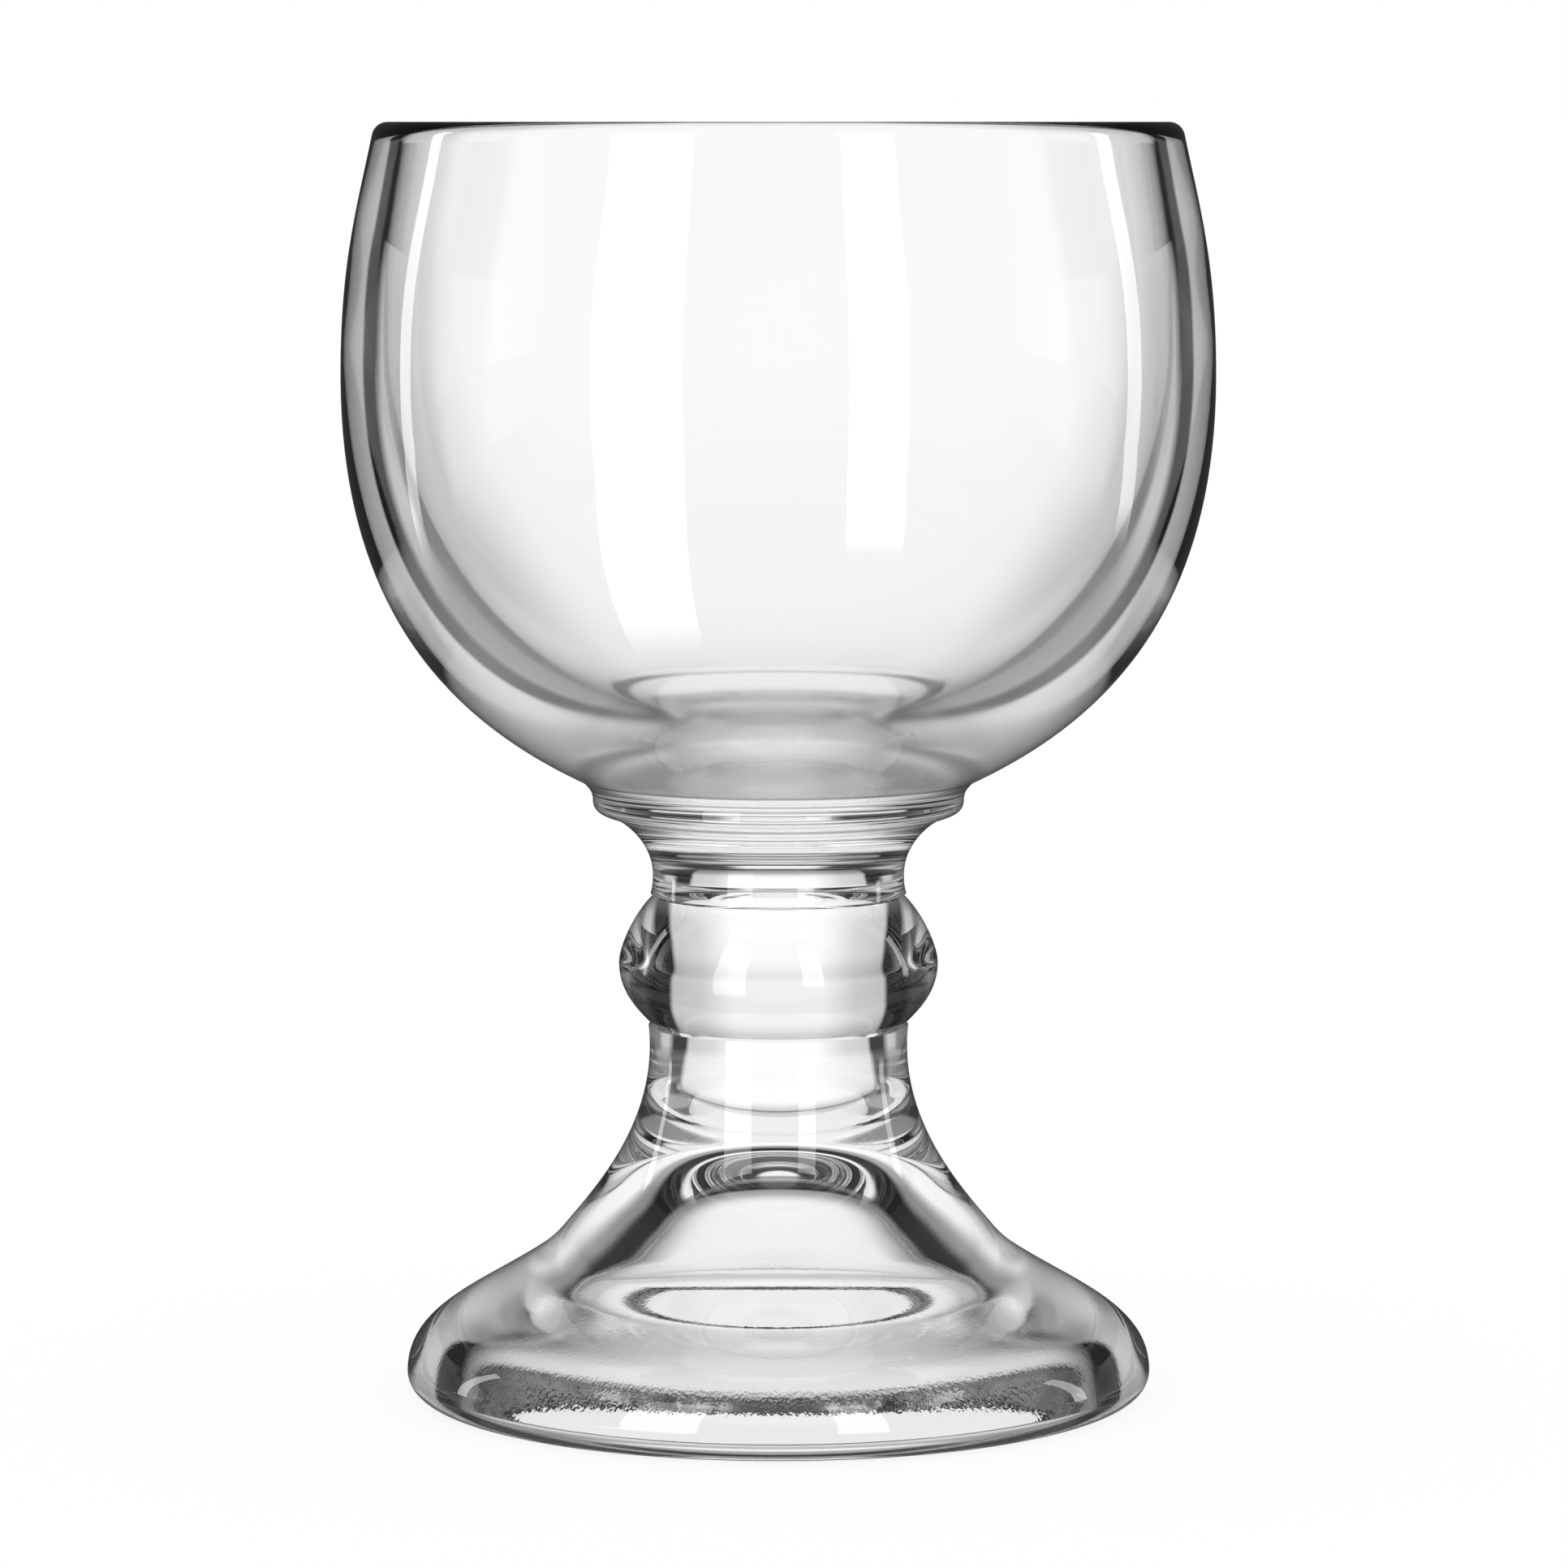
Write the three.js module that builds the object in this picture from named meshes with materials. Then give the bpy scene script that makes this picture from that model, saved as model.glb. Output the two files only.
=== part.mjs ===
// A heavy schooner glass: a round bowl on a collar, a short neck, a knop and a hollow bell foot.
// The five members are turned forms on one upright axis, and each is fused hot to the next at a
// flat round joint. Millimetres and degrees, +Z up, origin at the middle of the ring that the
// glass stands on.
import * as THREE from "three";

// Heights of the members from the table up. Each is the member's own, so those above move with it.
const FOOT_HEIGHT = 49.4;
const KNOP_HEIGHT = 16.9;
const NECK_HEIGHT = 10.6;
const COLLAR_HEIGHT = 4.7;
const BOWL_HEIGHT = 86.4;

// Radii of the fused joints, each shared by the two members that meet there.
const FOOT_JOINT_R = 17.2;
const KNOP_JOINT_R = 16.9;
const NECK_JOINT_R = 22.2;
const COLLAR_JOINT_R = 25.9;

// Bowl: heights are above its joint with the collar.
const RIM_R = 53.05;
const RIM_WALL = 4.2;
const BELLY_R = 57.3;
const BELLY_WALL = 5.5;
const BELLY_HEIGHT = 52.8;
const INNER_BELLY_HEIGHT = 57.2;
const BOWL_FLOOR = 5.4;
const UNDERSIDE_DEGREES = 25.6;
const RIM_OUTSIDE_DEGREES = 12;
const RIM_INSIDE_DEGREES = 8.5;

// Collar: a thick ring with a rounded lower edge and a narrow side.
const COLLAR_SIDE_R = 24.5;
const COLLAR_SIDE_HEIGHT = 2.2;

// Neck: waisted just above the knop, opening in a cove under the collar.
const NECK_WAIST_R = 16.6;
const NECK_WAIST_HEIGHT = 2.8;

// Knop: a rounded swelling, fullest a little below its middle.
const KNOP_R = 21.1;
const KNOP_FULLEST_HEIGHT = 8;

// Foot: a flare down to the ankle, a rounded shoulder and a lower edge rounded onto the ring.
const FOOT_R = 49.35;
const EDGE_HEIGHT = 3.05;
const EDGE_ROUND = 3.45;
const ANKLE_R = 30.2;
const ANKLE_HEIGHT = 19.9;
const ANKLE_EASE = 2.2;
const FLARE_DEGREES = 50.6;
const SHOULDER_DEGREES = 33.9;

// Hollow under the foot: a dome, a throat, a shallow skirt and a steep heel at the bearing ring.
const BEARING_RING = 3;
const RING_ROUND = 0.6;
const HOLLOW_HEIGHT = 31.2;
const THROAT_R = 17;
const THROAT_HEIGHT = 21;
const THROAT_DEGREES = 45;
const SKIRT_R = 30;
const SKIRT_HEIGHT = 10.35;
const SKIRT_DEGREES = 24;

// How finely the curves are divided, along the outline and round the axis.
const LONG_SEGMENTS = 10;
const SHORT_SEGMENTS = 5;
const TURN_SEGMENTS = 48;

// Height of each joint above the table.
const KNOP_BASE = FOOT_HEIGHT;
const NECK_BASE = KNOP_BASE + KNOP_HEIGHT;
const COLLAR_BASE = NECK_BASE + NECK_HEIGHT;
const BOWL_BASE = COLLAR_BASE + COLLAR_HEIGHT;

// Turns a form about Z instead of Y, by swapping axes exactly, so that flat joints stay flat.
const UPRIGHT = new THREE.Matrix4().set(1, 0, 0, 0, 0, 0, -1, 0, 0, 1, 0, 0, 0, 0, 0, 1);

// A point of an outline: its distance from the axis and its height.
const at = (radius, height) => new THREE.Vector2(radius, height);

// The point that lies pull away from a point, in the direction of an angle above outward.
function towards(point, angle, pull) {
  const turn = THREE.MathUtils.degToRad(angle);
  return at(point.x + pull * Math.cos(turn), point.y + pull * Math.sin(turn));
}

// A smooth stretch of outline. It leaves its start at one angle and comes to its end at another,
// and each hold is how far it keeps that angle, as a share of the way between its ends.
function bend(start, leave, leaveHold, end, arrive, arriveHold, steps) {
  const way = start.distanceTo(end);
  const curve = new THREE.CubicBezierCurve(
    start,
    towards(start, leave, leaveHold * way),
    towards(end, arrive, -arriveHold * way),
    end,
  );
  return curve.getPoints(steps);
}

// A round stretch of outline about a centre, from one angle to another.
function round(centre, radius, from, to, steps) {
  const angle = THREE.MathUtils.degToRad;
  const curve = new THREE.EllipseCurve(centre.x, centre.y, radius, radius, angle(from), angle(to));
  return curve.getPoints(steps);
}

// The solid that an outline sweeps round the axis. The outline starts and ends on the axis and
// runs with the glass on its left. Where two stretches share a point, it is kept once.
function turned(name, base, stretches) {
  const outline = stretches
    .flat()
    .filter((point, i, all) => i === 0 || point.distanceTo(all[i - 1]) > 1e-6);
  const geometry = new THREE.LatheGeometry(outline, TURN_SEGMENTS).applyMatrix4(UPRIGHT);
  const glass = new THREE.MeshStandardMaterial({
    color: 0xf3f6f5,
    roughness: 0.03,
    metalness: 0,
    transparent: true,
    opacity: 0.35,
  });
  const mesh = new THREE.Mesh(geometry, glass);
  mesh.name = name;
  mesh.position.z = base;
  return mesh;
}

// The hollow, the ring that the glass stands on, the shoulder and the flare up to the knop.
function foot() {
  const apex = at(0, HOLLOW_HEIGHT);
  const throat = at(THROAT_R, THROAT_HEIGHT);
  const skirt = at(SKIRT_R, SKIRT_HEIGHT);
  const ringOutside = FOOT_R - EDGE_ROUND;
  const ringInside = ringOutside - BEARING_RING;
  const heel = at(ringInside - RING_ROUND, RING_ROUND);
  const side = at(FOOT_R, EDGE_HEIGHT);
  const ankle = at(ANKLE_R, ANKLE_HEIGHT);
  const shoulderTop = towards(ankle, -SHOULDER_DEGREES, ANKLE_EASE);
  const flareFoot = towards(ankle, 180 - FLARE_DEGREES, ANKLE_EASE);
  return turned("foot", 0, [
    bend(apex, 0, 0.45, throat, -THROAT_DEGREES, 0.3, LONG_SEGMENTS),
    bend(throat, -THROAT_DEGREES, 0.3, skirt, -SKIRT_DEGREES, 0.24, SHORT_SEGMENTS),
    bend(skirt, -SKIRT_DEGREES, 0.51, heel, -90, 0.32, LONG_SEGMENTS),
    round(at(ringInside, RING_ROUND), RING_ROUND, 180, 270, 2),
    bend(at(ringOutside, 0), 0, 0.41, side, 90, 0.36, SHORT_SEGMENTS),
    bend(side, 90, 0.31, shoulderTop, 180 - SHOULDER_DEGREES, 0.48, LONG_SEGMENTS),
    bend(shoulderTop, 180 - SHOULDER_DEGREES, 0.3, flareFoot, 180 - FLARE_DEGREES, 0.3, 3),
    bend(flareFoot, 180 - FLARE_DEGREES, 0.22, at(FOOT_JOINT_R, FOOT_HEIGHT), 84, 0.44, LONG_SEGMENTS),
    [at(0, FOOT_HEIGHT)],
  ]);
}

function knop() {
  const fullest = at(KNOP_R, KNOP_FULLEST_HEIGHT);
  return turned("knop", KNOP_BASE, [
    [at(0, 0)],
    bend(at(FOOT_JOINT_R, 0), 45, 0.34, fullest, 90, 0.4, SHORT_SEGMENTS),
    bend(fullest, 90, 0.22, at(KNOP_JOINT_R, KNOP_HEIGHT), 135, 0.32, SHORT_SEGMENTS),
    [at(0, KNOP_HEIGHT)],
  ]);
}

function neck() {
  const waist = at(NECK_WAIST_R, NECK_WAIST_HEIGHT);
  return turned("neck", NECK_BASE, [
    [at(0, 0)],
    bend(at(KNOP_JOINT_R, 0), 108, 0.21, waist, 90, 0.57, 3),
    bend(waist, 90, 0.46, at(NECK_JOINT_R, NECK_HEIGHT), 12, 0.16, SHORT_SEGMENTS),
    [at(0, NECK_HEIGHT)],
  ]);
}

function collar() {
  const side = at(COLLAR_SIDE_R, COLLAR_SIDE_HEIGHT);
  return turned("collar", COLLAR_BASE, [
    [at(0, 0)],
    bend(at(NECK_JOINT_R, 0), 20, 0.38, side, 90, 0.5, SHORT_SEGMENTS),
    bend(side, 90, 0.42, at(COLLAR_JOINT_R, COLLAR_HEIGHT), 45, 0.35, 4),
    [at(0, COLLAR_HEIGHT)],
  ]);
}

// The wall goes up the outside, over the rounded rim and down the inside to the floor.
function bowl() {
  const rimRound = RIM_WALL / 2;
  const rimCentre = at(RIM_R - rimRound, BOWL_HEIGHT - rimRound);
  const rim = round(rimCentre, rimRound, RIM_OUTSIDE_DEGREES, 180 - RIM_INSIDE_DEGREES, SHORT_SEGMENTS + 1);
  const lip = rim[rim.length - 1];
  const belly = at(BELLY_R, BELLY_HEIGHT);
  const innerBelly = at(BELLY_R - BELLY_WALL, INNER_BELLY_HEIGHT);
  const floor = at(0, BOWL_FLOOR);
  return turned("bowl", BOWL_BASE, [
    [at(0, 0)],
    bend(at(COLLAR_JOINT_R, 0), UNDERSIDE_DEGREES, 0.283, belly, 90, 0.518, LONG_SEGMENTS),
    bend(belly, 90, 0.465, rim[0], 90 + RIM_OUTSIDE_DEGREES, 0.31, LONG_SEGMENTS),
    rim,
    bend(lip, RIM_INSIDE_DEGREES - 90, 0.464, innerBelly, -90, 0.508, LONG_SEGMENTS),
    bend(innerBelly, -90, 0.399, floor, 180, 0.498, LONG_SEGMENTS + 2),
  ]);
}

const schooner = new THREE.Group();
schooner.name = "schooner_glass";
schooner.add(foot(), knop(), neck(), collar(), bowl());

export default schooner;
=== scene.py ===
"""A heavy clear schooner glass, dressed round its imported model.

Five members of glass are turned on one upright axis and fused hot: a foot with a hollow under
it, a knop, a neck, a collar and a bowl. They stand on a pale floor in front of a white sweep,
between tall strip lights. Members are sized in millimetres and the studio in metres.
"""

import logging
import math
import random
from dataclasses import dataclass, field
from enum import Enum

import bmesh
import bpy
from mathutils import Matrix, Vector
from mathutils.geometry import interpolate_bezier

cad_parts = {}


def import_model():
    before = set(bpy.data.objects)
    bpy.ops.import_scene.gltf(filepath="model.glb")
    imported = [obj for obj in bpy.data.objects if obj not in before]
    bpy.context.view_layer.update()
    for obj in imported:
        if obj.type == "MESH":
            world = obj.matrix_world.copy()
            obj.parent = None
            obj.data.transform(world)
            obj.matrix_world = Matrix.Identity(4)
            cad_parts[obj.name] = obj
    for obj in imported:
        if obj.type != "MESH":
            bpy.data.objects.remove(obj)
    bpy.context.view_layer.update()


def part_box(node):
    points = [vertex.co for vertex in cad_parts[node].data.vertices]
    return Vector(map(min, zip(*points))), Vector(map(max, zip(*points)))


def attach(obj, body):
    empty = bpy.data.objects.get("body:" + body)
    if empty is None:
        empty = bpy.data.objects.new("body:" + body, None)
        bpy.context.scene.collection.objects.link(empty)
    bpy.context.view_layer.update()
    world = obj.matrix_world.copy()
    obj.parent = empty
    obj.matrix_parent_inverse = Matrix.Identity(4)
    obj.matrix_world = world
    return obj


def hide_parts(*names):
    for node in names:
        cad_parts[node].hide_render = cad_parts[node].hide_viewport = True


LOG = logging.getLogger("schooner_glass")
MM = 0.001
TURN_STEPS = 384
CURVE_STEPS = 24
CREASE_ANGLE = 32.0
TOUCHING = 1e-5
FLAT = 0.9999
CREASE_DEPTH = 0.35
WHITE = (1.0, 1.0, 1.0, 1.0)

# How many surfaces light has passed on its way, with a half added to tell whole numbers apart.
NO_SURFACE = 0.5
TWO_SURFACES = 2.5


class Finish(Enum):
    """What a face of the glass is finished as, by its material's place on the member."""

    CLEAR = 0
    FUSED = 1
    STIPPLED = 2
    GRAINED = 3
    SETTLED = 4


def at(radius: float, height: float) -> Vector:
    """Makes a point of an outline."""
    return Vector((radius, height))


def towards(point: Vector, angle: float, pull: float) -> Vector:
    """Finds the point that lies a distance away from another.

    Args:
        point: The point to start at, in the half plane of an outline.
        angle: Degrees above outward.
        pull: The distance in millimetres.

    Returns:
        The point reached.
    """
    turn = math.radians(angle)
    return point + pull * at(math.cos(turn), math.sin(turn))


class Outline:
    """Half a section of a turned member, drawn with the glass on its left.

    Points hold a radius and a height above the member's lower joint, in millimetres.
    """

    def __init__(self, start: Vector) -> None:
        """Starts the outline at one point."""
        self.points: list[Vector] = [start]

    def line(self, end: Vector, steps: int = 1) -> "Outline":
        """Draws a straight stretch.

        Args:
            end: Where it ends.
            steps: How many equal parts it is drawn in.

        Returns:
            The outline itself, so that stretches can follow each other.
        """
        start = self.points[-1]
        self.points += [start.lerp(end, i / steps) for i in range(1, steps + 1)]
        return self

    def bend(
        self,
        leave: tuple[float, float],
        end: Vector,
        arrive: tuple[float, float],
        steps: int = CURVE_STEPS,
    ) -> "Outline":
        """Draws a smooth stretch.

        Args:
            leave: Angle at its start, and how long it holds that angle, as a share of its span.
            end: Where it ends.
            arrive: Angle at its end, and how long it holds that angle, as a share of its span.
            steps: How many parts it is drawn in.

        Returns:
            The outline itself.
        """
        start = self.points[-1]
        span = (end - start).length
        handle = towards(start, leave[0], leave[1] * span)
        last_handle = towards(end, arrive[0], -arrive[1] * span)
        between = interpolate_bezier(start, handle, last_handle, end, steps + 1)[1:-1]
        self.points += [*between, end]
        return self

    def round(self, centre: Vector, start: float, end: float, steps: int) -> "Outline":
        """Draws a round stretch about a centre, from the point that the outline has reached.

        Args:
            centre: The middle of the round.
            start: Angle at which the stretch starts.
            end: Angle at which it ends.
            steps: How many parts it is drawn in.

        Returns:
            The outline itself.
        """
        radius = (self.points[-1] - centre).length
        turns = (start + (end - start) * i / steps for i in range(1, steps + 1))
        self.points += [towards(centre, turn, radius) for turn in turns]
        return self


class Nodes:
    """A shader's node tree, wired by short calls."""

    def __init__(self, owner: bpy.types.Material | bpy.types.World) -> None:
        """Empties the node tree of a material or a world.

        Args:
            owner: The material or the world.
        """
        owner.use_nodes = True
        self.tree = owner.node_tree
        self.tree.nodes.clear()

    def add(self, kind: str, *inputs: object, **settings: object) -> bpy.types.Node:
        """Adds a node.

        Args:
            kind: The node's type.
            inputs: A value or a socket for each input in turn, and None to leave one.
            settings: The node's own settings.

        Returns:
            The new node.
        """
        node = self.tree.nodes.new(kind)
        for name, value in settings.items():
            setattr(node, name, value)
        for socket, value in zip(node.inputs, inputs):
            self.feed(socket, value)
        return node

    def feed(self, socket: bpy.types.NodeSocket, value: object) -> None:
        """Sets an input to a value, or links it where the value is a socket.

        Args:
            socket: The input.
            value: A value, a socket, or None to leave the input as it is.
        """
        if isinstance(value, bpy.types.NodeSocket):
            self.tree.links.new(value, socket)
        elif value is not None:
            socket.default_value = value

    def math(self, operation: str, *inputs: object, clamp: bool = False) -> bpy.types.NodeSocket:
        """Adds a Math node and returns its result."""
        return self.add("ShaderNodeMath", *inputs, operation=operation, use_clamp=clamp).outputs[0]

    def fade(self, value: bpy.types.NodeSocket, full: float, none: float) -> bpy.types.NodeSocket:
        """Fades smoothly from 1 down to 0 as a value goes from one bound to the other.

        Args:
            value: The value to go by.
            full: Where the fade is still 1.
            none: Where it has come down to 0, which may lie below full.

        Returns:
            The share, from 0 to 1.
        """
        return self.add(
            "ShaderNodeMapRange", value, full, none, 1.0, 0.0, interpolation_type="SMOOTHSTEP"
        ).outputs[0]

    def mix(self, share: object, first: bpy.types.Node, second: bpy.types.Node) -> bpy.types.Node:
        """Mixes two shaders, with a share of the second."""
        return self.add("ShaderNodeMixShader", share, first.outputs[0], second.outputs[0])


@dataclass(frozen=True)
class ClearGlass:
    """Fire-polished soda-lime glass with the faint ripple of a pressed surface, and painted edge
    shade.
    """

    name: str = "fire_polished_glass"
    colour: tuple[float, float, float, float] = (0.99, 0.995, 0.995, 1.0)
    roughness: float = 0.0
    refraction: float = 1.52
    # Painted shade: the dark colour the glass is given where its surface is seen edge-on, and how
    # far from edge-on it starts.
    painted_edge_shade_colour: tuple[float, float, float, float] = (0.04, 0.042, 0.042, 1.0)
    painted_edge_shade_start: float = 0.6
    ripple_per_metre: float = 22.0
    ripple_strength: float = 0.03
    ripple_depth: float = 0.0006
    ripple_detail: float = 1.5
    ripple_falloff: float = 0.4

    def material(self) -> bpy.types.Material:
        """Makes the glass.

        Returns:
            The material.
        """
        made = bpy.data.materials.new(self.name)
        nodes = Nodes(made)
        place = nodes.add("ShaderNodeTexCoord").outputs["Object"]
        scale, detail, falloff = self.ripple_per_metre, self.ripple_detail, self.ripple_falloff
        ripple = nodes.add("ShaderNodeTexNoise", place, None, scale, detail, falloff).outputs["Fac"]
        bump = nodes.add("ShaderNodeBump")
        bump.inputs["Strength"].default_value = self.ripple_strength
        bump.inputs["Distance"].default_value = self.ripple_depth
        nodes.feed(bump.inputs["Height"], ripple)
        glass = nodes.add("ShaderNodeBsdfPrincipled")
        # Painted shade: the colour darkens towards the outline of the glass, where its surface is
        # seen edge-on.
        facing = nodes.add("ShaderNodeLayerWeight").outputs["Facing"]
        edge = nodes.fade(facing, 1.0, self.painted_edge_shade_start)
        tint_and_painted_edge_shade = nodes.add("ShaderNodeMixRGB", edge, self.colour, self.painted_edge_shade_colour)
        nodes.feed(glass.inputs["Base Color"], tint_and_painted_edge_shade.outputs[0])
        nodes.feed(glass.inputs["Roughness"], self.dull(nodes, place))
        glass.inputs["IOR"].default_value = self.refraction
        glass.inputs["Transmission Weight"].default_value = 1.0
        nodes.feed(glass.inputs["Normal"], bump.outputs["Normal"])
        nodes.add("ShaderNodeOutputMaterial", glass.outputs[0])
        return made

    def dull(self, nodes: Nodes, place: object) -> object:
        """Finds the roughness, which is even unless a finish says otherwise."""
        return self.roughness


@dataclass(frozen=True)
class StippledGlass(ClearGlass):
    """The same glass where a mould has roughened the bearing ring."""

    name: str = "stippled_glass"
    roughness: float = 0.25
    ripple_per_metre: float = 1800.0
    ripple_strength: float = 0.6
    ripple_depth: float = 0.0003


@dataclass(frozen=True)
class FusedJoint:
    """The flat face where two members have become one glass, which light passes unbent."""

    name: str = "fused_joint"

    def material(self) -> bpy.types.Material:
        """Makes the material that light passes unbent.

        Returns:
            The material.
        """
        made = bpy.data.materials.new(self.name)
        nodes = Nodes(made)
        clear = nodes.add("ShaderNodeBsdfTransparent")
        nodes.add("ShaderNodeOutputMaterial", clear.outputs[0])
        return made


@dataclass(frozen=True)
class GrainedGlass(ClearGlass):
    """The same glass under the skirt of the foot, where the plunger has left a fine grain."""

    name: str = "grained_glass"
    roughness: float = 0.015
    ripple_per_metre: float = 2600.0
    ripple_strength: float = 0.012
    ripple_depth: float = 0.0003


@dataclass(frozen=True)
class SettledGlass(ClearGlass):
    """The same glass on the bowl, whose polish softens towards the middle of its floor."""

    name: str = "settled_glass"
    floor_roughness: float = 0.25
    softening: tuple[float, float] = (0.024, 0.040)

    def dull(self, nodes: Nodes, place: object) -> object:
        """Finds the roughness, which falls with distance from the axis.

        Args:
            nodes: The shader to add to.
            place: A socket with the place on the glass, in metres.

        Returns:
            A socket with the roughness.
        """
        level = nodes.add("ShaderNodeVectorMath", place, (1.0, 1.0, 0.0), operation="MULTIPLY")
        radius = nodes.add("ShaderNodeVectorMath", level.outputs[0], operation="LENGTH")
        near_axis = nodes.fade(radius.outputs["Value"], *self.softening)
        return nodes.math("MULTIPLY", near_axis, self.floor_roughness)


@dataclass
class Member:
    """A turned member of the glass, which takes its place and its joints from the frame."""

    name: str
    skin: Finish = Finish.CLEAR
    lower_finish: Finish = Finish.FUSED
    upper_finish: Finish = Finish.FUSED
    base: float = field(init=False)
    height: float = field(init=False)
    widest: float = field(init=False)
    lower_joint: float = field(init=False)
    upper_joint: float = field(init=False)

    def __post_init__(self) -> None:
        """Measures the member's node in the frame."""
        low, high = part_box(self.name)
        self.base = low.z / MM
        self.height = (high.z - low.z) / MM
        self.widest = high.x / MM
        self.lower_joint = self.reach(low.z)
        self.upper_joint = self.reach(high.z)

    def reach(self, height: float) -> float:
        """Finds how far the node reaches from the axis at one height.

        Args:
            height: Metres above the floor.

        Returns:
            The radius in millimetres.
        """
        spots = (vertex.co for vertex in bpy.data.objects[self.name].data.vertices)
        return max(spot.xy.length for spot in spots if abs(spot.z - height) < TOUCHING) / MM

    def outline(self) -> Outline:
        """Draws half the member's section."""
        raise NotImplementedError

    def roughen(self, shape: bmesh.types.BMesh) -> None:
        """Works on the turned mesh, in metres. A polished member needs nothing."""

    def build(self, finishes: list[bpy.types.Material]) -> bpy.types.Object:
        """Turns the outline, sharpens its creases and puts the member in its node's place.

        Args:
            finishes: A material for each finish.

        Returns:
            The member's object.
        """
        shape = bmesh.new()
        drawn = self.outline().points
        spots = [Vector((point.x, 0.0, point.y + self.base)) * MM for point in drawn]
        path = [shape.verts.new(spot) for spot in spots]
        edges = [shape.edges.new(pair) for pair in zip(path, path[1:])]
        bmesh.ops.spin(
            shape,
            geom=path + edges,
            axis=(0, 0, 1),
            angle=math.tau,
            steps=TURN_STEPS,
            use_merge=True,
        )
        bmesh.ops.remove_doubles(shape, verts=shape.verts, dist=TOUCHING * MM)
        bmesh.ops.recalc_face_normals(shape, faces=shape.faces)
        for face in shape.faces:
            face.smooth = True
            face.material_index = self.finish_of(face).value
        for edge in shape.edges:
            edge.smooth = edge.calc_face_angle(0.0) < math.radians(CREASE_ANGLE)
        self.roughen(shape)
        mesh = bpy.data.meshes.new(f"{self.name}_glass")
        shape.to_mesh(mesh)
        shape.free()
        for finish in finishes:
            mesh.materials.append(finish)
        made = bpy.data.objects.new(f"{self.name}_glass", mesh)
        bpy.context.scene.collection.objects.link(made)
        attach(made, "root")
        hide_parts(self.name)
        LOG.info("%s: %d faces, base at %.1f mm", made.name, len(mesh.polygons), self.base)
        return made

    def finish_of(self, face: bmesh.types.BMFace) -> Finish:
        """Tells a face that lies in one of the member's joints from the polished outside.

        Args:
            face: A face of the turned mesh, in metres.

        Returns:
            Its finish.
        """
        centre = face.calc_center_median() / MM
        if abs(face.normal.z) > FLAT:
            for finish, height, radius in self.joints():
                if abs(centre.z - height) < TOUCHING / MM and centre.xy.length < radius:
                    return finish
        return self.skin

    def joints(self) -> list[tuple[Finish, float, float]]:
        """Lists the member's joints.

        Returns:
            The finish, height and radius of each, in millimetres.
        """
        return [
            (self.lower_finish, self.base, self.lower_joint),
            (self.upper_finish, self.base + self.height, self.upper_joint),
        ]


@dataclass
class Foot(Member):
    """The bell foot with its hollow, its bearing ring and the lower stem."""

    name: str = "foot"
    lower_finish: Finish = Finish.CLEAR
    edge_height: float = 3.05
    edge_round: float = 3.45
    ankle: tuple[float, float] = (30.2, 19.9)
    ankle_ease: float = 2.2
    flare_slope: float = 50.6
    shoulder_slope: float = 33.9
    ring_width: float = 3.0
    ring_round: float = 0.6
    hollow_height: float = 31.2
    throat: tuple[float, float] = (17.0, 21.0)
    throat_slope: float = 45.0
    skirt: tuple[float, float] = (30.0, 10.35)
    skirt_slope: float = 24.0
    stipple_depth: float = 0.12
    stipple_rows: int = 6
    stipple_seed: int = 7

    def outline(self) -> Outline:
        """Draws the hollow, the ring, the shoulder and the flare up to the knop.

        Returns:
            The closed outline.
        """
        outside = self.widest - self.edge_round
        inside = outside - self.ring_width
        heel = at(inside - self.ring_round, self.ring_round)
        side = at(self.widest, self.edge_height)
        drawn = Outline(at(0, self.hollow_height))
        drawn.bend((0, 0.45), at(*self.throat), (-self.throat_slope, 0.3))
        drawn.bend((-self.throat_slope, 0.3), at(*self.skirt), (-self.skirt_slope, 0.24))
        drawn.bend((-self.skirt_slope, 0.51), heel, (-90, 0.32))
        drawn.round(at(inside, self.ring_round), 180, 270, 4)
        drawn.line(at(outside, 0), self.stipple_rows)
        drawn.bend((0, 0.41), side, (90, 0.36), 12)
        return self.draw_shoulder(drawn)

    def draw_shoulder(self, drawn: Outline) -> Outline:
        """Goes on over the shoulder, the eased ankle and the flare.

        Args:
            drawn: The outline as far as the foot's widest place.

        Returns:
            The closed outline.
        """
        up_shoulder = 180 - self.shoulder_slope
        up_flare = 180 - self.flare_slope
        shoulder_top = towards(at(*self.ankle), up_shoulder, -self.ankle_ease)
        flare_foot = towards(at(*self.ankle), up_flare, self.ankle_ease)
        drawn.bend((90, 0.31), shoulder_top, (up_shoulder, 0.48))
        drawn.bend((up_shoulder, 0.3), flare_foot, (up_flare, 0.3), 8)
        drawn.bend((up_flare, 0.22), at(self.upper_joint, self.height - CREASE_DEPTH), (84, 0.44))
        drawn.line(at(self.upper_joint - CREASE_DEPTH, self.height))
        return drawn.line(at(0, self.height))

    def roughen(self, shape: bmesh.types.BMesh) -> None:
        """Stipples the bearing ring and grains the skirt of the hollow.

        Args:
            shape: The turned mesh, in metres.
        """
        dots = random.Random(self.stipple_seed)
        for vertex in shape.verts:
            on_ring = all(abs(face.normal.z) > FLAT for face in vertex.link_faces)
            if vertex.co.z < TOUCHING * MM and on_ring:
                vertex.co.z += MM * self.stipple_depth * dots.random()
        for face in shape.faces:
            centre = face.calc_center_median()
            if face.normal.xy.dot(centre.xy) < 0 and centre.z < self.throat[1] * MM:
                face.material_index = Finish.GRAINED.value
            if all(vertex.co.z < self.stipple_depth * MM for vertex in face.verts):
                face.smooth = False
                face.material_index = Finish.STIPPLED.value


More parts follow.
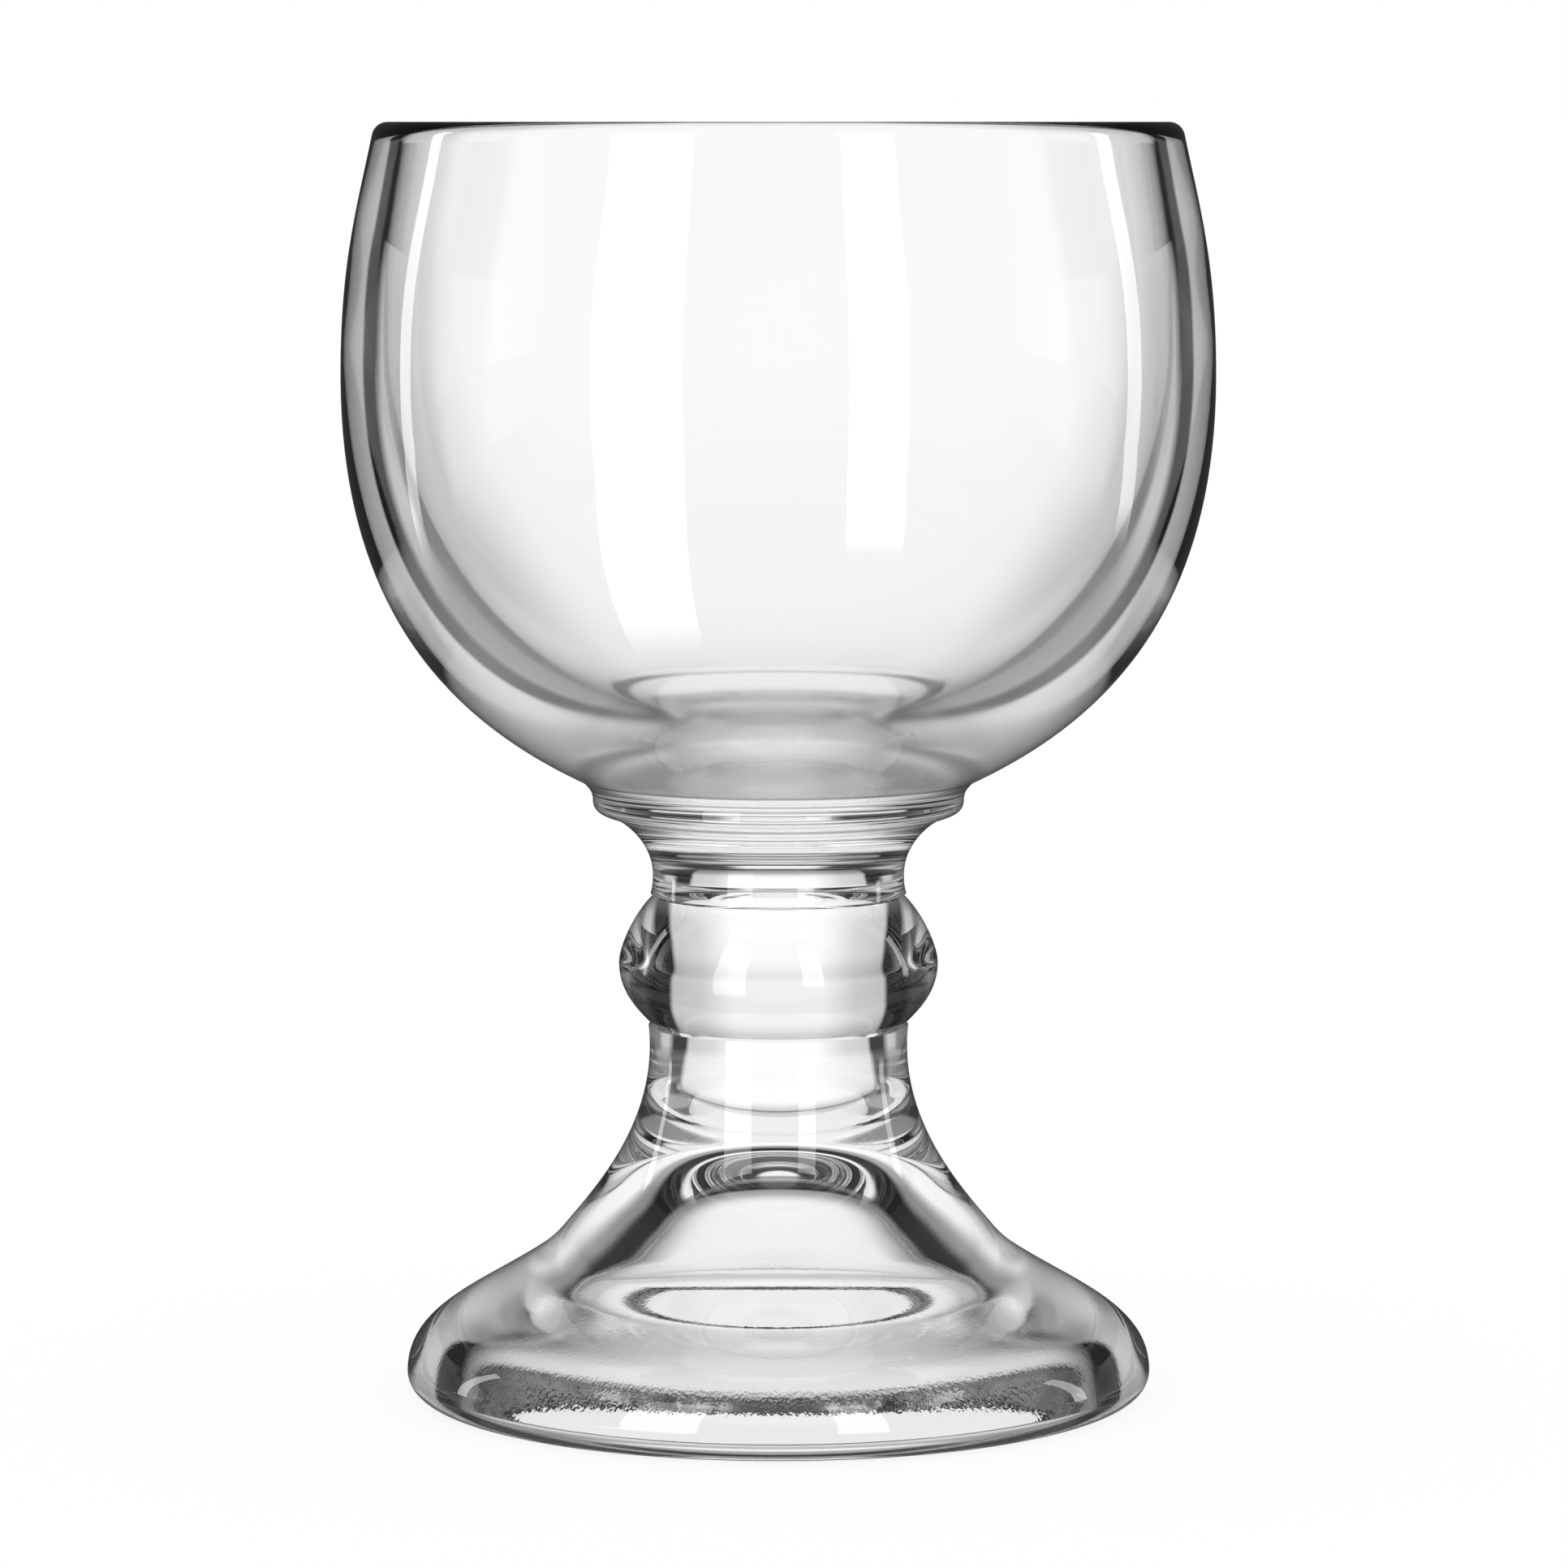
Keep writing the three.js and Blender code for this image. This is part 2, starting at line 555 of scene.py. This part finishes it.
@dataclass
class Knop(Member):
    """The rounded swelling of the stem."""

    name: str = "knop"
    fullest_height: float = 8.0

    def outline(self) -> Outline:
        """Draws the swelling between its two flat joints, with half a crease at each.

        Returns:
            The closed outline.
        """
        drawn = Outline(at(0, 0)).line(at(self.lower_joint - CREASE_DEPTH, 0))
        drawn.line(at(self.lower_joint, CREASE_DEPTH))
        drawn.bend((45, 0.34), at(self.widest, self.fullest_height), (90, 0.4))
        drawn.bend((90, 0.22), at(self.upper_joint, self.height - CREASE_DEPTH), (135, 0.32))
        drawn.line(at(self.upper_joint - CREASE_DEPTH, self.height))
        return drawn.line(at(0, self.height))


@dataclass
class Neck(Member):
    """The short cove between the knop and the collar."""

    name: str = "neck"
    waist: tuple[float, float] = (16.6, 2.8)

    def outline(self) -> Outline:
        """Draws the cove between its two flat joints.

        Returns:
            The closed outline.
        """
        drawn = Outline(at(0, 0)).line(at(self.lower_joint - CREASE_DEPTH, 0))
        drawn.line(at(self.lower_joint, CREASE_DEPTH))
        drawn.bend((108, 0.21), at(*self.waist), (90, 0.57), 8)
        drawn.bend((90, 0.46), at(self.upper_joint, self.height), (12, 0.16))
        return drawn.line(at(0, self.height))


@dataclass
class Collar(Member):
    """The thick joining ring under the bowl."""

    name: str = "collar"
    side: tuple[float, float] = (24.5, 2.2)

    def outline(self) -> Outline:
        """Draws the ring's rounded lower edge and its narrow side.

        Returns:
            The closed outline.
        """
        drawn = Outline(at(0, 0)).line(at(self.lower_joint, 0))
        drawn.bend((20, 0.38), at(*self.side), (90, 0.5), 12)
        drawn.bend((90, 0.42), at(self.upper_joint, self.height), (45, 0.35), 8)
        return drawn.line(at(0, self.height))


@dataclass
class Bowl(Member):
    """The round bowl with its rounded rim."""

    name: str = "bowl"
    skin: Finish = Finish.SETTLED
    upper_finish: Finish = Finish.SETTLED
    rim_radius: float = 53.05
    rim_wall: float = 4.2
    rim_lean_outside: float = 12.0
    rim_lean_inside: float = 8.5
    belly_height: float = 52.8
    belly_wall: float = 5.5
    inner_belly_height: float = 57.2
    floor_height: float = 5.4
    underside_slope: float = 25.6

    def outline(self) -> Outline:
        """Draws the wall up the outside, over the rim and down to the floor inside.

        Returns:
            The closed outline.
        """
        rim_round = self.rim_wall / 2
        rim_middle = at(self.rim_radius - rim_round, self.height - rim_round)
        rim_start = towards(rim_middle, self.rim_lean_outside, rim_round)
        belly = at(self.widest, self.belly_height)
        inner_belly = at(self.widest - self.belly_wall, self.inner_belly_height)
        drawn = Outline(at(0, 0)).line(at(self.lower_joint, 0))
        drawn.bend((self.underside_slope, 0.283), belly, (90, 0.518), 40)
        drawn.bend((90, 0.465), rim_start, (90 + self.rim_lean_outside, 0.31))
        drawn.round(rim_middle, self.rim_lean_outside, 180 - self.rim_lean_inside, 20)
        drawn.bend((self.rim_lean_inside - 90, 0.464), inner_belly, (-90, 0.508))
        return drawn.bend((-90, 0.399), at(0, self.floor_height), (180, 0.498), 48)


@dataclass
class StripLight:
    """A tall strip light that curves round the glass, with its own gleam along the floor.

    Angles are degrees from the front towards the right. Only the outside of the glass mirrors it.
    """

    name: str
    start: float
    end: float
    distance: float = 0.5
    top: float = 0.55
    gleam_start: float | None = None
    gleam_fade: float = 0.06
    radiance: float = 4.0
    lift: float = 0.0005
    turn_steps: int = 16

    def build(self) -> bpy.types.Object:
        """Makes the curved card.

        Returns:
            The strip light's object.
        """
        shape = bmesh.new()
        section = [(self.distance, self.lift), (self.distance, self.top)]
        if self.gleam_start is not None:
            section.insert(0, (self.gleam_start, self.lift))
        turn = math.radians(self.start - 90)
        across, along = math.cos(turn), math.sin(turn)
        path = [shape.verts.new((r * across, r * along, z)) for r, z in section]
        edges = [shape.edges.new(pair) for pair in zip(path, path[1:])]
        bmesh.ops.spin(
            shape,
            geom=path + edges,
            axis=(0, 0, 1),
            angle=math.radians(self.end - self.start),
            steps=self.turn_steps,
        )
        made = placed(shape, self.name, self.light())
        made.visible_camera = False
        made.visible_diffuse = False
        made.visible_transmission = False
        made.visible_shadow = False
        return made

    def light(self) -> bpy.types.Material:
        """Makes the light, which rays that have been inside the glass don't meet.

        Returns:
            The material.
        """
        made = bpy.data.materials.new(self.name)
        nodes = Nodes(made)
        path = nodes.add("ShaderNodeLightPath").outputs
        lit = nodes.math("LESS_THAN", path["Transmission Depth"], NO_SURFACE)
        if self.gleam_start is not None:
            place = nodes.add("ShaderNodeTexCoord").outputs["Object"]
            far = nodes.add("ShaderNodeVectorMath", place, operation="LENGTH").outputs["Value"]
            inner = nodes.fade(far, self.gleam_start + self.gleam_fade, self.gleam_start)
            lit = nodes.math("MULTIPLY", lit, inner)
        glow = nodes.add("ShaderNodeEmission", None, self.radiance)
        clear = nodes.add("ShaderNodeBsdfTransparent")
        nodes.add("ShaderNodeOutputMaterial", nodes.mix(lit, clear, glow).outputs[0])
        made.cycles.emission_sampling = "NONE"
        return made


def placed(shape: bmesh.types.BMesh, name: str, finish: bpy.types.Material) -> bpy.types.Object:
    """Puts a piece of the studio in the scene.

    Args:
        shape: Its mesh in metres, which is freed.
        name: Its name.
        finish: Its material.

    Returns:
        The new object, marked as no part of the glass.
    """
    mesh = bpy.data.meshes.new(name)
    shape.to_mesh(mesh)
    shape.free()
    mesh.materials.append(finish)
    made = bpy.data.objects.new(name, mesh)
    bpy.context.scene.collection.objects.link(made)
    return made


@dataclass
class Surroundings:
    """What the glass bends light from.

    A white sweep stands behind, with black cards on both sides of it and grey ones beyond them.
    A black card hangs over the top of the sweep, with a white one overhead, and the room in front
    of the glass is an even grey. Seen through the glass, the floor shows painted light and shade:
    it is painted paler close to the glass, but for a painted shadow round the foot. Each step is an
    angle from the sweep's middle line, in degrees, and how bright it is there. Other angles are in
    degrees above the floor, and distances in metres.
    """

    # Painted light and shade on the floor seen through the glass, by angle, away from the glass.
    floor_steps: tuple[tuple[float, float], ...] = (
        (11.0, 1.0),
        (21.0, 0.68),
        (31.0, 0.6),
        (33.0, 0.01),
        (41.0, 0.01),
        (46.0, 0.6),
        (52.0, 0.6),
        (57.0, 0.2),
        (75.0, 0.2),
        (80.0, 1.0),
    )
    sky_steps: tuple[tuple[float, float], ...] = (
        (11.0, 1.0),
        (21.0, 0.68),
        (31.0, 0.6),
        (33.0, 0.005),
        (42.0, 0.005),
        (48.0, 0.05),
        (60.0, 0.05),
        (66.0, 0.2),
        (75.0, 0.2),
        (80.0, 0.3),
    )
    # Under the hollow of the foot, the painted floor gives way to the plain lit floor between these
    # distances.
    under: tuple[float, float] = (0.0405, 0.043)
    # Painted shadow round the foot: full within the first distance, gone at the second, and the
    # share of brightness it leaves.
    painted_contact_shadow: tuple[float, float] = (0.045, 0.075)
    painted_contact_shadow_level: float = 0.3
    # Painted light and shade close to the glass, by angle, which takes over from the floor steps
    # between these distances.
    apron: tuple[float, float] = (0.15, 0.35)
    apron_steps: tuple[tuple[float, float], ...] = (
        (11.0, 1.0),
        (31.0, 0.8),
        (34.0, 0.12),
        (42.0, 0.12),
        (46.0, 0.35),
        (60.0, 0.3),
        (68.0, 0.06),
        (80.0, 0.06),
    )
    ceiling: tuple[float, float] = (22.0, 30.0)
    ceiling_level: float = 0.01
    overhead: tuple[float, float] = (44.0, 50.0)
    overhead_side: tuple[float, float] = (0.25, 0.42)
    climb_edge: tuple[float, float] = (3.0, 20.0)
    climb_level: float = 0.38
    sweep_level: float = 1.05
    front_level: float = 0.65
    front_edge: tuple[float, float] = (0.0, -0.25)
    gleam: float = 0.14
    gleam_low: float = 0.05
    gleam_edge: tuple[float, float] = (0.0, 0.3)

    def sideways(
        self, nodes: Nodes, x: object, y: object, steps: tuple[tuple[float, float], ...]
    ) -> object:
        """Finds how bright it is towards a place or in a direction, by its angle alone.

        Args:
            nodes: The shader to add to.
            x: Distance across the sweep.
            y: Distance along the sweep.
            steps: How bright it is at each angle.

        Returns:
            The brightness.
        """
        across, along = nodes.math("ABSOLUTE", x), nodes.math("ABSOLUTE", y)
        angle = nodes.math("ARCTAN2", across, along)
        share = nodes.math("DIVIDE", angle, math.pi / 2, clamp=True)
        ramp = nodes.add("ShaderNodeValToRGB", share)
        stops = ramp.color_ramp.elements
        while len(stops) < len(steps):
            stops.new(1.0)
        for stop, (degrees, level) in zip(stops, steps):
            stop.position = degrees / 90
            stop.color = (level, level, level, 1.0)
        return ramp.outputs["Color"]

    def upwards(self, nodes: Nodes, x: object, z: object, solid: object) -> tuple[object, object]:
        """Finds how much of the black and of the white overhead a direction meets.

        Args:
            nodes: The shader to add to.
            x: How far sideways the direction points, from -1 to 1.
            z: How far up it points, from -1 to 1.
            solid: 1 for a ray that has only been through solid glass, and else 0.

        Returns:
            The share of what lies over the sweep, and how bright that is.
        """
        rise = [math.sin(math.radians(degrees)) for degrees in self.ceiling + self.overhead]
        high = nodes.math("SUBTRACT", 1.0, nodes.fade(z, rise[0], rise[1]))
        middle = nodes.math("SUBTRACT", solid, nodes.fade(z, rise[2], rise[3]), clamp=True)
        across = nodes.fade(nodes.math("ABSOLUTE", x), *self.overhead_side)
        middle = nodes.math("MULTIPLY", middle, across)
        return high, nodes.math("MAXIMUM", middle, self.ceiling_level)

    def climb(self, nodes: Nodes, z: object) -> object:
        """Finds how bright the sweep is by how far up a direction points.

        Args:
            nodes: The shader to add to.
            z: How far up the direction points, from -1 to 1.

        Returns:
            1 near the floor, down to the level of the sweep's upper part.
        """
        low, high = (math.sin(math.radians(degrees)) for degrees in self.climb_edge)
        lower = nodes.fade(z, low, high)
        return nodes.math("MULTIPLY_ADD", lower, 1.0 - self.climb_level, self.climb_level)

    def with_front(self, nodes: Nodes, y: object, level: object) -> object:
        """Leaves the cards and the sweep behind the glass, with an even room in front of it.

        Args:
            nodes: The shader to add to.
            y: How far along the sweep a place or direction lies, from -1 to 1.
            level: How bright it is behind the glass.

        Returns:
            How bright it is.
        """
        behind = nodes.fade(y, *self.front_edge)
        change = nodes.math("MULTIPLY_ADD", level, self.sweep_level, -self.front_level)
        return nodes.math("MULTIPLY_ADD", behind, change, self.front_level)

    def along_floor(self, nodes: Nodes, x: object, y: object, far: object) -> object:
        """Finds how bright the floor is painted: paler by the glass than between the cards further
        out.

        Args:
            nodes: The shader to add to.
            x: Metres across the sweep.
            y: Metres along the sweep.
            far: Metres from the axis of the glass.

        Returns:
            How bright the floor is, with a soft shadow round the foot.
        """
        out = self.sideways(nodes, x, y, self.floor_steps)
        near = self.sideways(nodes, x, y, self.apron_steps)
        change = nodes.math("SUBTRACT", near, out)
        level = nodes.math("MULTIPLY_ADD", nodes.fade(far, *self.apron), change, out)
        level = self.with_front(nodes, nodes.math("DIVIDE", y, far), level)
        # Painted shadow: the floor is darkened round the foot.
        painted_shadow = nodes.math("MULTIPLY", nodes.fade(far, *self.painted_contact_shadow), 1.0 - self.painted_contact_shadow_level)
        return nodes.math("MULTIPLY", level, nodes.math("SUBTRACT", 1.0, painted_shadow))

    def mirror_level(self, nodes: Nodes, y: object) -> object:
        """Finds how bright the room is in the mirror of the outside: dark behind the glass.

        Args:
            nodes: The shader to add to.
            y: Distance along the sweep.

        Returns:
            The brightness.
        """
        ahead = nodes.fade(y, *self.gleam_edge)
        return nodes.math("MULTIPLY_ADD", ahead, self.gleam, self.gleam_low)


@dataclass
class Studio:
    """The pale floor, the surroundings, the strip lights and the camera."""

    surroundings: Surroundings = field(default_factory=Surroundings)
    floor_half_size: float = 400.0
    shadow_share: float = 0.15
    floor_glow: float = 1.03
    floor_paint: tuple[float, float, float, float] = (0.9, 0.9, 0.9, 1.0)
    lens: float = 146.0
    sensor_width: float = 36.0
    nearest: float = 0.01
    farthest: float = 1000.0
    eye: tuple[float, float, float] = (0.00074, -0.83504, 0.168)
    pitch: float = -5.9456
    glass_bounces: int = 24
    mirror_bounces: int = 16
    clear_bounces: int = 32
    strips: list[StripLight] = field(
        default_factory=lambda: [
            StripLight("left_strip", -46.5, -23, gleam_start=0.09),
            StripLight("right_strip", 17, 32, gleam_start=0.22),
            StripLight("left_edge_strip", -113, -108, 0.9, gleam_start=0.3, gleam_fade=0.2),
            StripLight("right_edge_strip", 100, 106, 0.9, gleam_start=0.3, gleam_fade=0.2),
        ]
    )

    def paths(self, nodes: Nodes) -> tuple[object, object, object]:
        """Sorts the rays that meet the floor or the room.

        Args:
            nodes: The shader to add to.

        Returns:
            1 for a ray that has left the glass, then for one that has only been through solid
            glass, then for one that the glass has mirrored, and else 0.
        """
        path = nodes.add("ShaderNodeLightPath").outputs
        through = path["Is Transmission Ray"]
        solid = nodes.math("LESS_THAN", path["Transmission Depth"], TWO_SURFACES)
        mirrored = nodes.math("SUBTRACT", path["Is Glossy Ray"], through, clamp=True)
        return through, nodes.math("MULTIPLY", through, solid), mirrored

    def light_room(self) -> None:
        """Sets the light that comes from all round."""
        around = self.surroundings
        world = bpy.data.worlds.new("white_room")
        bpy.context.scene.world = world
        nodes = Nodes(world)
        way = nodes.add("ShaderNodeTexCoord").outputs["Generated"]
        x, y, z = nodes.add("ShaderNodeSeparateXYZ", way).outputs
        through, solid, mirrored = self.paths(nodes)
        high, high_level = around.upwards(nodes, x, z, solid)
        white = nodes.add("ShaderNodeBackground", WHITE, 1.0)
        dim = nodes.add("ShaderNodeBackground", WHITE, around.mirror_level(nodes, y))
        level = around.with_front(nodes, y, around.sideways(nodes, x, y, around.sky_steps))
        level = nodes.math("MULTIPLY", level, around.climb(nodes, z))
        beside = nodes.add("ShaderNodeBackground", WHITE, level)
        above = nodes.add("ShaderNodeBackground", WHITE, high_level)
        shown = nodes.mix(through, nodes.mix(mirrored, white, dim), beside)
        shown = nodes.mix(nodes.math("MULTIPLY", high, through), shown, above)
        nodes.add("ShaderNodeOutputWorld", shown.outputs[0])

    def lay_floor(self) -> None:
        """Lays the floor, which keeps a soft shadow and can't be seen from below."""
        around = self.surroundings
        shape = bmesh.new()
        bmesh.ops.create_grid(shape, x_segments=1, y_segments=1, size=self.floor_half_size)
        pale = bpy.data.materials.new("pale_floor")
        nodes = Nodes(pale)
        place = nodes.add("ShaderNodeTexCoord").outputs["Object"]
        x, y, _ = nodes.add("ShaderNodeSeparateXYZ", place).outputs
        far = nodes.add("ShaderNodeVectorMath", place, operation="LENGTH").outputs["Value"]
        away = nodes.math("SUBTRACT", 1.0, nodes.fade(far, *around.under))
        through, _, mirrored = self.paths(nodes)
        glow = nodes.add("ShaderNodeEmission", WHITE, self.floor_glow)
        paint = nodes.add("ShaderNodeBsdfDiffuse", self.floor_paint)
        mirrored_level = around.mirror_level(nodes, nodes.math("DIVIDE", y, far))
        dim = nodes.add("ShaderNodeEmission", WHITE, mirrored_level)
        # Painted light and shade: rays that come out of the glass meet this painted floor, except
        # under the hollow of the foot.
        beside = nodes.add("ShaderNodeEmission", WHITE, around.along_floor(nodes, x, y, far))
        clear = nodes.add("ShaderNodeBsdfTransparent")
        lit = nodes.mix(self.shadow_share, glow, paint)
        shown = nodes.mix(mirrored, lit, dim)
        shown = nodes.mix(nodes.math("MULTIPLY", through, away), shown, beside)
        under = nodes.add("ShaderNodeNewGeometry").outputs["Backfacing"]
        nodes.add("ShaderNodeOutputMaterial", nodes.mix(under, shown, clear).outputs[0])
        pale.cycles.emission_sampling = "NONE"
        placed(shape, "floor", pale)

    def place_camera(self) -> None:
        """Puts the camera where the photograph was taken, level with the rim."""
        data = bpy.data.cameras.new("camera")
        data.lens = self.lens
        data.sensor_width = self.sensor_width
        data.clip_start = self.nearest
        data.clip_end = self.farthest
        made = bpy.data.objects.new("camera", data)
        made.location = self.eye
        made.rotation_euler = (math.radians(90 + self.pitch), 0.0, 0.0)
        bpy.context.scene.collection.objects.link(made)
        bpy.context.scene.camera = made

    def build(self) -> None:
        """Sets up the studio."""
        self.light_room()
        self.lay_floor()
        for strip in self.strips:
            strip.build()
            LOG.info("%s from %g to %g degrees", strip.name, strip.start, strip.end)
        self.place_camera()
        scene = bpy.context.scene
        scene.view_settings.view_transform = "Standard"
        scene.cycles.max_bounces = self.glass_bounces
        scene.cycles.transmission_bounces = self.glass_bounces
        scene.cycles.glossy_bounces = self.mirror_bounces
        scene.cycles.transparent_max_bounces = self.clear_bounces


def main() -> None:
    """Loads the frame, and makes the members and the studio."""
    logging.basicConfig(level=logging.INFO, format="%(name)s: %(message)s")
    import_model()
    kinds = (ClearGlass(), FusedJoint(), StippledGlass(), GrainedGlass(), SettledGlass())
    finishes = [kind.material() for kind in kinds]
    for member in (Foot(), Knop(), Neck(), Collar(), Bowl()):
        member.build(finishes)
    Studio().build()


if __name__ == "__main__":
    main()
